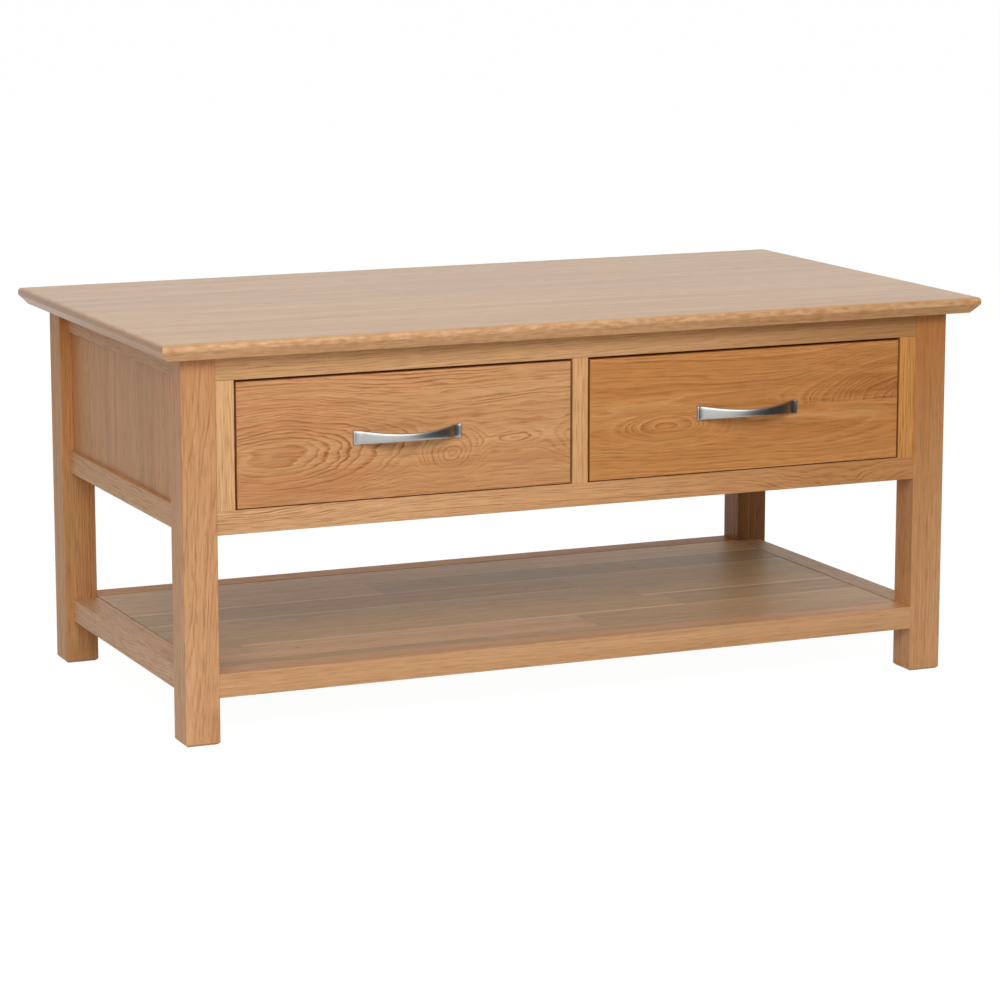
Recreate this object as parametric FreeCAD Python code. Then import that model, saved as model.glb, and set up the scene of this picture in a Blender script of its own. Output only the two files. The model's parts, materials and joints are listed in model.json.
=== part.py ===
import FreeCAD, Part
import math
import os

# A coffee table with two drawers over an open shelf, in oak with cast metal bow handles.
# Millimetres. X runs along the table, the drawers open towards -Y, and Z goes up.
# The origin is on the floor under the middle of the table.

# Overall frame
frame_width = 950.0          # over the outer faces of the legs, along X
frame_depth = 485.0          # over the outer faces of the legs, along Y
table_height = 450.0
leg_size = 40.0              # side of the square legs
leg_arris = 1.2              # rounding of the legs' long edges
foot_chamfer = 2.5

# Table top and its moulded edge
top_thickness = 19.0
top_overhang = 30.0          # from the legs to the nose, on all four sides
top_edge_radius = 5.0
top_nose_radius = 3.5
top_bevel_run = 10.0         # how far the undercut runs in from the nose
top_bevel_rise = 11.0        # how far the undercut climbs from the underside to the nose

# Frames of rails and panels between the legs
top_rail_height = 27.5
drawer_opening_height = 143.5
lower_rail_height = 26.5
flush_reveal = 1.0           # front and shelf rails behind the legs' faces
rail_set_back = 9.0          # side and back rails behind the legs' faces
set_back_rail_thickness = 20.0
stile_width = 21.0
stile_depth = 20.0
muntin_width = 19.0
panel_thickness = 9.0
panel_set_back = 15.0        # side and back panels behind the legs' faces
panel_entry = 6.0            # how far a panel's edge goes into its groove
frame_arris = 0.4

# Lower shelf
shelf_floor_gap = 52.0
shelf_rail_height = 26.5
shelf_front_rail_width = 32.0
shelf_panel_thickness = 18.0
shelf_panel_gap = 1.0        # shadow line between the panel and its rails
shelf_panel_chamfer = 1.2
tongue_thickness = 6.0
tongue_drop = 6.0            # from the shelf's top to the tongue
tongue_entry = 8.0

# Mortise and tenon joints
tenon_thickness = 8.0
tenon_length = 15.0
tenon_shoulder = 8.0
flush_tenon_inset = 11.0     # from a flush rail's face to its tenon
stub_length = 8.0            # tenons of stiles, runners and kickers
stile_shoulder = 4.0
runner_shoulder = 10.0
kicker_shoulder = 12.0
stub_width = 16.0            # width of a runner's or kicker's tenon
joint_clearance = 0.15       # all round a tenon, tongue, panel edge or dovetail
depth_clearance = 0.5        # past the end of a tenon, tongue or panel edge

# Drawers
drawer_gap_top = 3.0
drawer_gap_side = 2.5
drawer_gap_bottom = 1.2
drawer_front_thickness = 18.0
drawer_front_arris = 1.0
drawer_side_thickness = 12.0
drawer_side_drop = 3.0       # from the front's top edge to the sides' top edges
drawer_back_gap = 10.0       # behind the closed drawer
drawer_bottom_thickness = 6.0
drawer_bottom_lift = 8.0     # from the sides' lower edges to the bottom panel
drawer_bottom_entry = 6.0
tail_pitch = 34.0            # spacing that the dovetails come nearest to
tail_length = 12.0
tail_slope = 7.0             # one in seven
pin_width = 6.0              # between two dovetails at their wide ends

# Wooden running gear
slide_clearance = 0.3        # under the drawer's sides
guide_clearance = 0.8        # beside the drawer
kicker_clearance = 1.5       # over the drawer's sides
runner_margin = 8.0          # runner showing inside the drawer's side
kicker_margin = 2.0
guide_height = 20.0
stop_width = 30.0
stop_length = 18.0
stop_height = 5.0
stop_spacing = 200.0

# Bow handles
handle_length = 129.0
handle_hole_centres = 96.0
handle_projection = 24.0
handle_bar_thickness = 5.0
handle_end_height = 17.5
handle_middle_height = 8.8
handle_lip = 2.4             # flat ends that lie along the drawer
handle_lip_thickness = 3.2
handle_flare_radius = 14.0
handle_foot_length = 24.0
handle_arris = 1.0

# Screws
screw_radius = 2.0
screw_head_radius = 4.0
screw_head_height = 2.5
screw_clearance = 0.15
counterbore_clearance = 0.5
screw_end_margin = 60.0
screws_in_a_row = 3
top_screw_depth = 12.0       # into the table top
kicker_counterbore = 14.0
guide_screw_depth = 14.0     # into the runner
guide_counterbore = 6.0
handle_screw_depth = 5.0     # into the handle's foot
bottom_screw_depth = 12.0    # into the drawer's back
bottom_screw_margin = 50.0

# Levels and lines that the pieces share
half_width = frame_width / 2
half_depth = frame_depth / 2
inner_x = half_width - leg_size
inner_y = half_depth - leg_size
top_underside = table_height - top_thickness
top_rail_z = (top_underside - top_rail_height, top_underside)
opening_z = (top_rail_z[0] - drawer_opening_height, top_rail_z[0])
lower_rail_z = (opening_z[0] - lower_rail_height, opening_z[0])
shelf_z = (shelf_floor_gap, shelf_floor_gap + shelf_rail_height)
between_legs_x = (-inner_x, inner_x)
between_legs_y = (-inner_y, inner_y)
front_y = flush_reveal - half_depth
front_rail_y = (front_y, -inner_y)
side_rail_outer = half_width - rail_set_back
side_rail_x = (side_rail_outer - set_back_rail_thickness, side_rail_outer)
back_rail_outer = half_depth - rail_set_back
back_rail_y = (back_rail_outer - set_back_rail_thickness, back_rail_outer)

opening_width = (2 * inner_x - 2 * stile_width - muntin_width) / 2
opening_pitch = opening_width + muntin_width
left_opening_x = (-inner_x + stile_width, -inner_x + stile_width + opening_width)
front_x = (left_opening_x[0] + drawer_gap_side, left_opening_x[1] - drawer_gap_side)
front_z = (opening_z[0] + drawer_gap_bottom, opening_z[1] - drawer_gap_top)
drawer_front_y = (front_y, front_y + drawer_front_thickness)
drawer_rear = back_rail_y[0] - drawer_back_gap
side_z = (front_z[0], front_z[1] - drawer_side_drop)
bottom_z = (front_z[0] + drawer_bottom_lift, front_z[0] + drawer_bottom_lift + drawer_bottom_thickness)
runner_z = (lower_rail_z[0], side_z[0] - slide_clearance)
guide_z = (runner_z[1], runner_z[1] + guide_height)
kicker_z = (side_z[1] + kicker_clearance, top_underside)
running_gear_y = (-inner_y, back_rail_y[0])


def vector(x, y, z):
    return FreeCAD.Vector(x, y, z)


def mirrored(span):
    return (-span[1], -span[0])


def widened(span, amount):
    return (span[0] - amount, span[1] + amount)


def block(x, y, z):
    return Part.makeBox(x[1] - x[0], y[1] - y[0], z[1] - z[0], vector(x[0], y[0], z[0]))


def edges_along(shape, axis):
    """The straight edges of a shape that run along x, y or z."""
    place = "xyz".index(axis)
    return [edge for edge in shape.Edges if abs(edge.tangentAt(edge.FirstParameter)[place]) > 0.99]


def board(x, y, z, axis, arris):
    """A sawn board with the four edges along its length taken off."""
    body = block(x, y, z)
    return body.makeChamfer(arris, edges_along(body, axis))


def member(x, y, z, axis, cheeks, length=tenon_length, shoulder=tenon_shoulder):
    """What describes a tenoned board: its spans, its length's axis and its tenons."""
    return {"x": x, "y": y, "z": z, "axis": axis, "cheeks": cheeks, "length": length, "shoulder": shoulder}


def tenons(piece, side=0.0, depth=0.0):
    """Both tenons of a member, or the mortises that take them when side and depth are clearances."""
    axis = piece["axis"]
    cheek_axis = {"x": "y", "y": "x", "z": "y"}[axis]
    width_axis = ({"x", "y", "z"} - {axis, cheek_axis}).pop()
    low, high = piece[axis]
    spans = {cheek_axis: widened(piece["cheeks"], side)}
    spans[width_axis] = widened(piece[width_axis], side - piece["shoulder"])
    blocks = []
    for ends in ((low - piece["length"] - depth, low), (high, high + piece["length"] + depth)):
        spans[axis] = ends
        blocks.append(block(spans["x"], spans["y"], spans["z"]))
    return blocks


def mortises(pieces):
    """One tool that cuts the mortises of several members."""
    tools = []
    for piece in pieces:
        tools += tenons(piece, joint_clearance, depth_clearance)
    return Part.makeCompound(tools)


def tenoned(piece):
    body = board(piece["x"], piece["y"], piece["z"], piece["axis"], frame_arris)
    return body.fuse(tenons(piece)).removeSplitter()


def screw(seat, direction, length):
    """A pan-head screw whose head lies against the seat, with its shank along the direction."""
    head = Part.makeCylinder(screw_head_radius, screw_head_height, seat, -direction)
    shank = Part.makeCylinder(screw_radius, length, seat, direction)
    return head.fuse(shank)


def screw_hole(seat, direction, length, counterbore=0.0):
    """The room for a screw, with a counterbore behind its seat where one is wanted."""
    hole = Part.makeCylinder(screw_radius + screw_clearance, length + depth_clearance, seat, direction)
    if counterbore > 0:
        bore_radius = screw_head_radius + counterbore_clearance
        hole = hole.fuse(Part.makeCylinder(bore_radius, counterbore, seat, -direction))
    return hole


def evenly(span, margin, count):
    """Places spread evenly over a span, with a margin at both ends."""
    step = (span[1] - span[0] - 2 * margin) / (count - 1)
    return [span[0] + margin + step * index for index in range(count)]


# Tenoned members: rails between the legs, then stiles, runners and kickers between the rails
flush_cheeks = (front_y + flush_tenon_inset, front_y + flush_tenon_inset + tenon_thickness)
side_cheeks = widened(side_rail_x, (tenon_thickness - set_back_rail_thickness) / 2)
back_cheeks = widened(back_rail_y, (tenon_thickness - set_back_rail_thickness) / 2)
shelf_front_y = (front_y, front_y + shelf_front_rail_width)
shelf_side_x = (inner_x, side_rail_outer)

rails = {
    "front_top_rail": member(between_legs_x, front_rail_y, top_rail_z, "x", flush_cheeks),
    "front_lower_rail": member(between_legs_x, front_rail_y, lower_rail_z, "x", flush_cheeks),
    "back_top_rail": member(between_legs_x, back_rail_y, top_rail_z, "x", back_cheeks),
    "back_lower_rail": member(between_legs_x, back_rail_y, lower_rail_z, "x", back_cheeks),
    "shelf_front_rail": member(between_legs_x, shelf_front_y, shelf_z, "x", flush_cheeks),
    "shelf_back_rail": member(between_legs_x, mirrored(shelf_front_y), shelf_z, "x", mirrored(flush_cheeks)),
}
side_rails = {
    "side_top_rail": (side_rail_x, top_rail_z),
    "side_lower_rail": (side_rail_x, lower_rail_z),
    "shelf_side_rail": (shelf_side_x, shelf_z),
}
for name, (x, z) in side_rails.items():
    rails[name + "_right"] = member(x, between_legs_y, z, "y", side_cheeks)
    rails[name + "_left"] = member(mirrored(x), between_legs_y, z, "y", mirrored(side_cheeks))

stile_y = (front_y, front_y + stile_depth)
left_stile_x = (-inner_x, left_opening_x[0])
stiles = {
    "front_stile_left": left_stile_x,
    "front_stile_right": mirrored(left_stile_x),
    "centre_muntin": (-muntin_width / 2, muntin_width / 2),
}
stiles = {
    name: member(x, stile_y, opening_z, "z", flush_cheeks, stub_length, stile_shoulder)
    for name, x in stiles.items()
}

# Each drawer side runs over a runner, beside a guide and under a kicker
outer_side_x = (front_x[0], front_x[0] + drawer_side_thickness)
inner_side_x = (front_x[1] - drawer_side_thickness, front_x[1])
outer_stub = widened(outer_side_x, (stub_width - drawer_side_thickness) / 2)
left_runner_x = (-inner_x, outer_side_x[1] + runner_margin)
left_kicker_x = (-inner_x, outer_side_x[1] + kicker_margin)
left_guide_x = (-inner_x, outer_side_x[0] - guide_clearance)
centre_runner_half = runner_margin - inner_side_x[0]
centre_kicker_half = kicker_margin - inner_side_x[0]
centre_guide_half = -inner_side_x[1] - guide_clearance
centre_stub = (-stub_width / 2, stub_width / 2)

runner_spans = {
    "left": (left_runner_x, outer_stub),
    "centre": ((-centre_runner_half, centre_runner_half), centre_stub),
    "right": (mirrored(left_runner_x), mirrored(outer_stub)),
}
kicker_spans = {
    "left": (left_kicker_x, outer_stub),
    "centre": ((-centre_kicker_half, centre_kicker_half), centre_stub),
    "right": (mirrored(left_kicker_x), mirrored(outer_stub)),
}
guide_spans = {
    "left": left_guide_x,
    "centre": (-centre_guide_half, centre_guide_half),
    "right": mirrored(left_guide_x),
}
runners = {
    place: member(x, running_gear_y, runner_z, "y", stub, stub_length, runner_shoulder)
    for place, (x, stub) in runner_spans.items()
}
kickers = {
    place: member(x, running_gear_y, kicker_z, "y", stub, stub_length, kicker_shoulder)
    for place, (x, stub) in kicker_spans.items()
}

# Panels held in grooves
side_panel_x = (half_width - panel_set_back - panel_thickness, half_width - panel_set_back)
back_panel_y = (half_depth - panel_set_back - panel_thickness, half_depth - panel_set_back)
entered_z = widened(opening_z, panel_entry)
panels = {
    "side_panel_right": (side_panel_x, widened(between_legs_y, panel_entry), entered_z),
    "side_panel_left": (mirrored(side_panel_x), widened(between_legs_y, panel_entry), entered_z),
    "back_panel": (widened(between_legs_x, panel_entry), back_panel_y, entered_z),
}


def panel_groove(name):
    """The room that a panel's edges take up in the legs and rails around it."""
    x, y, z = panels[name]
    if name == "back_panel":
        return block(widened(x, depth_clearance), widened(y, joint_clearance), widened(z, depth_clearance))
    return block(widened(x, joint_clearance), widened(y, depth_clearance), widened(z, depth_clearance))


grooves = Part.makeCompound([panel_groove(name) for name in panels])

# Where the screws go: up through the kickers, and down through the guides
up = vector(0, 0, 1)
top_seat_z = kicker_z[0] + kicker_counterbore
top_screw_length = top_underside - top_seat_z + top_screw_depth
guide_seat_z = guide_z[1] - guide_counterbore
guide_screw_length = guide_seat_z - guide_z[0] + guide_screw_depth
screw_rows = evenly(running_gear_y, screw_end_margin, screws_in_a_row)


def middle(span):
    return (span[0] + span[1]) / 2


top_seats = [vector(middle(x), y, top_seat_z) for x, stub in kicker_spans.values() for y in screw_rows]
guide_seats = [vector(middle(x), y, guide_seat_z) for x in guide_spans.values() for y in screw_rows]
top_screw_holes = Part.makeCompound(
    [screw_hole(seat, up, top_screw_length, kicker_counterbore) for seat in top_seats]
)
guide_screw_holes = Part.makeCompound(
    [screw_hole(seat, -up, guide_screw_length, guide_counterbore) for seat in guide_seats]
)


def rectangle(half_x, half_y, z):
    corners = [(-half_x, -half_y), (half_x, -half_y), (half_x, half_y), (-half_x, half_y), (-half_x, -half_y)]
    return Part.makePolygon([vector(x, y, z) for x, y in corners])


def edges_at_height(shape, z):
    return [edge for edge in shape.Edges if all(abs(point.Z - z) < 1e-6 for point in edge.Vertexes)]


def table_top():
    """A slab with an undercut bevel below its nose and rounded edges above it."""
    nose_x = half_width + top_overhang
    nose_y = half_depth + top_overhang
    nose_z = top_underside + top_bevel_rise
    underside = rectangle(nose_x - top_bevel_run, nose_y - top_bevel_run, top_underside)
    bevel = Part.makeLoft([underside, rectangle(nose_x, nose_y, nose_z)], True, True)
    slab = block((-nose_x, nose_x), (-nose_y, nose_y), (nose_z, table_height))
    body = bevel.fuse(slab).removeSplitter()
    body = body.makeFillet(top_nose_radius, edges_at_height(body, nose_z))
    body = body.makeFillet(top_edge_radius, edges_at_height(body, table_height))
    return body.cut(top_screw_holes)


def leg(side_x, side_y):
    """A square leg with eased edges and a chamfered foot, mortised for the rails that meet it."""
    x = (inner_x, half_width) if side_x > 0 else (-half_width, -inner_x)
    y = (inner_y, half_depth) if side_y > 0 else (-half_depth, -inner_y)
    body = block(x, y, (0, top_underside))
    body = body.makeChamfer(foot_chamfer, edges_at_height(body, 0))
    rising = [edge for edge in body.Edges if abs(edge.Vertexes[0].Z - edge.Vertexes[-1].Z) > 1e-6]
    body = body.makeFillet(leg_arris, rising)
    return body.cut([mortises(rails.values()), grooves])


def shelf_tongues(side=0.0, depth=0.0):
    """The tongues on all four edges of the shelf's panel, or their grooves."""
    z = widened((shelf_z[1] - tongue_drop - tongue_thickness, shelf_z[1] - tongue_drop), side)
    inside_y = (shelf_front_y[1], -shelf_front_y[1])
    along = block(
        widened(between_legs_x, tongue_entry + depth), widened(between_legs_y, side - shelf_panel_gap), z
    )
    across = block(
        widened(between_legs_x, side - shelf_panel_gap), widened(inside_y, tongue_entry + depth), z
    )
    return along.fuse(across)


def shelf_panel():
    """The panel lies level with its rails, inside a narrow shadow line."""
    x = widened(between_legs_x, -shelf_panel_gap)
    y = widened((shelf_front_y[1], -shelf_front_y[1]), -shelf_panel_gap)
    body = block(x, y, (shelf_z[1] - shelf_panel_thickness, shelf_z[1]))
    body = body.makeChamfer(shelf_panel_chamfer, edges_at_height(body, shelf_z[1]))
    return body.fuse(shelf_tongues()).removeSplitter()


def tails(x, root, tip, z, grow=0.0):
    """Dovetails on a board's end, as prisms that widen from their root to their tip."""
    count = max(1, round((z[1] - z[0]) / tail_pitch))
    step = (z[1] - z[0]) / count
    spread = abs(tip - root) / tail_slope
    end = tip + math.copysign(grow, tip - root)
    prisms = []
    for index in range(count):
        low = z[0] + index * step + pin_width / 2 - grow
        high = z[0] + (index + 1) * step - pin_width / 2 + grow
        corners = [(root, low + spread), (end, low), (end, high), (root, high - spread), (root, low + spread)]
        outline = Part.makePolygon([vector(x[0], y, height) for y, height in corners])
        prisms.append(Part.Face(outline).extrude(vector(x[1] - x[0], 0, 0)))
    return prisms


# The drawer's corners: lapped dovetails at the front, through dovetails at the back
front_tail_tip = drawer_front_y[1] - tail_length
back_y = (drawer_rear - drawer_side_thickness, drawer_rear)
back_z = (bottom_z[1] + joint_clearance, side_z[1])
handle_z = middle(front_z)
handle_x = middle(front_x)
handle_screw_x = (handle_x - handle_hole_centres / 2, handle_x + handle_hole_centres / 2)
handle_screw_length = drawer_front_thickness + handle_screw_depth
bottom_screw_length = drawer_bottom_thickness + bottom_screw_depth
outward = vector(0, -1, 0)
handle_seats = [vector(x, drawer_front_y[1], handle_z) for x in handle_screw_x]
bottom_seats = [
    vector(x, middle(back_y), bottom_z[0]) for x in evenly(front_x, bottom_screw_margin, screws_in_a_row)
]


def bottom_block(side=0.0, depth=0.0):
    """The drawer's bottom panel, or with clearances the grooves that it slides into."""
    x = widened((outer_side_x[1], inner_side_x[0]), drawer_bottom_entry - depth_clearance + depth)
    y = (drawer_front_y[1] - drawer_bottom_entry + depth_clearance - depth, drawer_rear)
    return block(x, y, widened(bottom_z, side))


def drawer_front():
    body = block(front_x, drawer_front_y, front_z)
    edges = [edge for edge in body.Edges if all(abs(point.Y - front_y) < 1e-6 for point in edge.Vertexes)]
    body = body.makeFillet(drawer_front_arris, edges)
    sockets = []
    for side_x in (outer_side_x, inner_side_x):
        x = widened(side_x, joint_clearance)
        sockets += tails(x, drawer_front_y[1], front_tail_tip, side_z, joint_clearance)
    holes = [screw_hole(seat, outward, handle_screw_length) for seat in handle_seats]
    return body.cut(sockets + holes + [bottom_block(joint_clearance, depth_clearance)])


def drawer_side(x):
    body = block(x, (drawer_front_y[1], back_y[0]), side_z)
    heel = block(x, back_y, (side_z[0], back_z[0]))
    front_tails = tails(x, drawer_front_y[1], front_tail_tip, side_z)
    back_tails = tails(x, back_y[0], back_y[1], back_z)
    body = body.fuse([heel] + front_tails + back_tails).removeSplitter()
    return body.cut(bottom_block(joint_clearance, depth_clearance))


def drawer_back():
    body = block(front_x, back_y, back_z)
    sockets = []
    for side_x in (outer_side_x, inner_side_x):
        x = widened(side_x, joint_clearance)
        sockets += tails(x, back_y[0], back_y[1], back_z, joint_clearance)
    return body.cut(sockets + [screw_hole(seat, up, bottom_screw_length) for seat in bottom_seats])


def handle():
    """A bow handle: its bow as seen from above, cut to its waisted outline as seen from the front."""
    end = handle_length / 2
    lip_start = end - handle_lip
    rise = handle_projection - handle_lip_thickness
    turn = 2 * math.atan2(rise, lip_start)
    crown_radius = lip_start / math.sin(turn) - handle_flare_radius
    bend_x = crown_radius * math.sin(turn)
    bend_out = handle_projection - crown_radius * (1 - math.cos(turn))
    flare_x = lip_start - handle_flare_radius * math.sin(turn / 2)
    flare_out = handle_lip_thickness + handle_flare_radius * (1 - math.cos(turn / 2))
    foot_x = end - handle_foot_length
    inner_radius = crown_radius - handle_bar_thickness
    foot_out = handle_projection - crown_radius + math.sqrt(inner_radius ** 2 - foot_x ** 2)

    def plan(x, out):
        return vector(handle_x + x, front_y - out, handle_z - handle_end_height / 2)

    def line(start, finish):
        return Part.LineSegment(plan(*start), plan(*finish)).toShape()

    def arc(start, through, finish):
        return Part.Arc(plan(*start), plan(*through), plan(*finish)).toShape()

    bow = Part.Wire([
        line((-end, 0), (-end, handle_lip_thickness)),
        line((-end, handle_lip_thickness), (-lip_start, handle_lip_thickness)),
        arc((-lip_start, handle_lip_thickness), (-flare_x, flare_out), (-bend_x, bend_out)),
        arc((-bend_x, bend_out), (0, handle_projection), (bend_x, bend_out)),
        arc((bend_x, bend_out), (flare_x, flare_out), (lip_start, handle_lip_thickness)),
        line((lip_start, handle_lip_thickness), (end, handle_lip_thickness)),
        line((end, handle_lip_thickness), (end, 0)),
        line((end, 0), (foot_x, 0)),
        line((foot_x, 0), (foot_x, foot_out)),
        arc((foot_x, foot_out), (0, handle_projection - handle_bar_thickness), (-foot_x, foot_out)),
        line((-foot_x, foot_out), (-foot_x, 0)),
        line((-foot_x, 0), (-end, 0)),
    ])
    body = Part.Face(bow).extrude(vector(0, 0, handle_end_height))

    def elevation(x, height):
        return vector(handle_x + x, front_y, handle_z + height)

    tall = handle_end_height / 2
    waist = handle_middle_height / 2
    outline = Part.Wire([
        Part.Arc(elevation(-end, tall), elevation(0, waist), elevation(end, tall)).toShape(),
        Part.LineSegment(elevation(end, tall), elevation(end, -tall)).toShape(),
        Part.Arc(elevation(end, -tall), elevation(0, -waist), elevation(-end, -tall)).toShape(),
        Part.LineSegment(elevation(-end, -tall), elevation(-end, tall)).toShape(),
    ])
    body = body.common(Part.Face(outline).extrude(vector(0, -handle_projection, 0)))
    long_edges = [edge for edge in body.Edges if abs(edge.CenterOfMass.x - handle_x) < 1e-3]
    body = body.makeFillet(handle_arris, long_edges)
    return body.cut([screw_hole(seat, outward, handle_screw_length) for seat in handle_seats])


def drawer_pieces():
    """The pieces of the left drawer by name; the right one is the same."""
    return {
        "front": drawer_front(),
        "side_left": drawer_side(outer_side_x),
        "side_right": drawer_side(inner_side_x),
        "back": drawer_back(),
        "bottom": bottom_block().cut([screw_hole(seat, up, bottom_screw_length) for seat in bottom_seats]),
        "bottom_screws": Part.makeCompound([screw(seat, up, bottom_screw_length) for seat in bottom_seats]),
        "handle": handle(),
        "handle_screws": Part.makeCompound(
            [screw(seat, outward, handle_screw_length) for seat in handle_seats]
        ),
    }


def drawer_stops():
    """Small blocks on the front lower rail that the drawer fronts close against."""
    y = (drawer_front_y[1] + slide_clearance, drawer_front_y[1] + slide_clearance + stop_length)
    z = (opening_z[0], opening_z[0] + stop_height)
    stops = []
    for drawer_middle in (handle_x, handle_x + opening_pitch):
        for side in (-1, 1):
            x = drawer_middle + side * stop_spacing / 2
            stops.append(board((x - stop_width / 2, x + stop_width / 2), y, z, "z", frame_arris))
    return Part.makeCompound(stops)


parts = {"table_top": table_top()}

for side_name, side_x in (("left", -1), ("right", 1)):
    parts["leg_front_" + side_name] = leg(side_x, -1)
    parts["leg_back_" + side_name] = leg(side_x, 1)

stub_mortises = mortises(list(stiles.values()) + list(runners.values()) + list(kickers.values()))
for name, rail in rails.items():
    parts[name] = tenoned(rail).cut([grooves, stub_mortises, shelf_tongues(joint_clearance, depth_clearance)])

for name, stile in stiles.items():
    parts[name] = tenoned(stile)

for name, spans in panels.items():
    parts[name] = block(*spans)

for place in runners:
    parts["runner_" + place] = tenoned(runners[place]).cut(guide_screw_holes)
    guide = board(guide_spans[place], running_gear_y, guide_z, "y", frame_arris)
    parts["guide_" + place] = guide.cut(guide_screw_holes)
    parts["kicker_" + place] = tenoned(kickers[place]).cut(top_screw_holes)

parts["guide_screws"] = Part.makeCompound([screw(seat, -up, guide_screw_length) for seat in guide_seats])
parts["top_screws"] = Part.makeCompound([screw(seat, up, top_screw_length) for seat in top_seats])
parts["drawer_stops"] = drawer_stops()
parts["shelf_panel"] = shelf_panel()

for name, shape in drawer_pieces().items():
    parts["drawer_left_" + name] = shape
    parts["drawer_right_" + name] = shape.translated(vector(opening_pitch, 0, 0))

os.makedirs("parts", exist_ok=True)
for name, shape in parts.items():
    shape.exportStep("parts/" + name + ".step")
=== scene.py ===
import json
import math

import bpy
import numpy as np
from mathutils import Euler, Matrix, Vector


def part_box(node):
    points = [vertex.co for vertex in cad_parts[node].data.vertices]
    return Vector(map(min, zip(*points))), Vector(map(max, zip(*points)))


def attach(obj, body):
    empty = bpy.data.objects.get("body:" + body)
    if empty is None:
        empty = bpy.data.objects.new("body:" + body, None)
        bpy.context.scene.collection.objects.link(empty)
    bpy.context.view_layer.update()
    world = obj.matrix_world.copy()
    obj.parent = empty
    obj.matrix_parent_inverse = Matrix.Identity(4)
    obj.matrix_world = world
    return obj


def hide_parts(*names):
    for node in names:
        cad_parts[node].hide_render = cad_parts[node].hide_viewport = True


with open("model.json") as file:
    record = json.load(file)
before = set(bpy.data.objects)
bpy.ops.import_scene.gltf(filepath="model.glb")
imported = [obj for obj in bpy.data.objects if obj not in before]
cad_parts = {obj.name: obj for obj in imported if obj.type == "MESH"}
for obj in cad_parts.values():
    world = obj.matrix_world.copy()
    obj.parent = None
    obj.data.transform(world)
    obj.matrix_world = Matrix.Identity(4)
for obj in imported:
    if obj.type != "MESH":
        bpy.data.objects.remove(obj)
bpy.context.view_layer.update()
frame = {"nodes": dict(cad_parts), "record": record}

mm = 0.001  # lengths in the dictionaries are in millimetres, unless they say metres
slotOf = {row["node"]: row["material_slot"] for row in frame["record"]["subparts"]}
print("frame loaded,", len(frame["nodes"]), "nodes")


def colour(code):
    # an sRGB hex code as linear red, green, blue and alpha
    value = np.array([int(code[place:place + 2], 16) for place in (1, 3, 5)]) / 255
    linear = np.where(value <= 0.04045, value / 12.92, ((value + 0.055) / 1.055) ** 2.4)
    return (*linear.tolist(), 1.0)


def put(tree, kind, settings, inputs):
    # adds a node, sets its properties, then links its inputs or fills them
    node = tree.nodes.new("ShaderNode" + kind)
    for name, value in settings.items():
        setattr(node, name, value)
    for key, value in inputs.items():
        if isinstance(value, bpy.types.NodeSocket):
            tree.links.new(value, node.inputs[key])
        else:
            node.inputs[key].default_value = value
    return node


def emptyTree(name):
    # a material with nothing in its node tree yet
    material = bpy.data.materials.new(name)
    material.use_nodes = True
    material.node_tree.nodes.clear()
    return material, material.node_tree


def dress(node, material):
    # puts the material on a node of the solid model
    slots = frame["nodes"][node].data.materials
    slots.clear()
    slots.append(material)


times = {"operation": "MULTIPLY"}  # settings that many nodes share
timesPlus = {"operation": "MULTIPLY_ADD"}
smooth = {"interpolation_type": "SMOOTHSTEP"}
colours = {"data_type": "RGBA"}

grainTurn = {"x": (0, 0, 0), "y": (0, 0, 90), "z": (0, -90, 0)}  # degrees, lays the pattern along the grain
grainAxis = {"x": (1, 0, 0), "y": (0, 1, 0), "z": (0, 0, 1)}

# Planed oak under a satin lacquer: amber late wood in lines along the grain, paler between them,
# short dark pores, slow changes of tone, darker end grain, and a soft white sheen at a low angle.
oak = {
    "grain": "x",              # the axis along the board
    "light": "#DBA877", "dark": "#AC6B36", "pale": "#E6BC8E",
    "warm": "#C07E48", "pore": "#8C5A33", "end": "#A87347",
    "pith": None,              # a point on the heart line, from the board's middle
    "lean": (0.0, 0.0),        # how far the heart line leans from the grain axis, degrees
    "ring": 3.0,               # one year's growth
    "lines": 0.7,              # how strongly the late wood shows
    "lateFrom": 0.15,          # where in a year's growth the late wood starts
    "broken": 0.3,             # how far the flecks break up the lines
    "sway": 12.0, "swayLong": 380.0, "swayWide": 60.0,       # slow bends of the rings
    "waver": 2.0, "waverLong": 46.0, "waverWide": 11.0,      # small ones
    "streak": 0.3, "streakLong": 700.0, "streakWide": 16.0,  # warmer streaks
    "fadeLong": 110.0, "fadeWide": 22.0,                     # where lines fade out and come back
    "poreShow": 0.34, "poreLong": 26.0, "poreWide": 1.7,     # real pores are 0.3 mm, drawn coarser to show
    "fibre": 0.06, "fibreLong": 120.0, "fibreWide": 3.4,     # long fibres, lighter and darker
    "fleck": 0.07, "fleckLong": 30.0, "fleckWide": 2.1,      # short ones
    "heart": 0.5, "glowLong": 90.0, "glowWide": 9.0,         # orange streaks in the middle of a swell
    "archDeep": 26.0,          # how high a full swell is
    "archFrom": 0.7, "archShow": 1.25,                       # how the lines show off a swell and on it
    "edgeShow": 1.0, "edgeTones": None,                      # how lines show on a cut edge, and its two tones
    "paintedShade": None,             # painted shade: two places along the grain between which the board darkens to its warm tone, and how far
    "stave": None,             # width and length of glued-up staves, and how far their tones differ
    "sap": 0.0,                # how pale the sapwood is along one side of some staves
    "cast": None,              # a colour that some staves lean to, and how far
    "swells": (),              # x, z, half length, half width, height and turn of each arch, from the middle
    "bend": (9.0, 36.0),       # how far and how finely the swells are bent out of round
    "upper": None,             # the upper board's own heart line and swells, and the height of the glue joint
    "knots": (),               # x, y, z, half length and half width of small dark knots, from the middle
    "sheen": 0.3,              # how much the lacquer reflects
    "rough": (0.46, 0.58),     # roughness between the pores and in them
}

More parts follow.
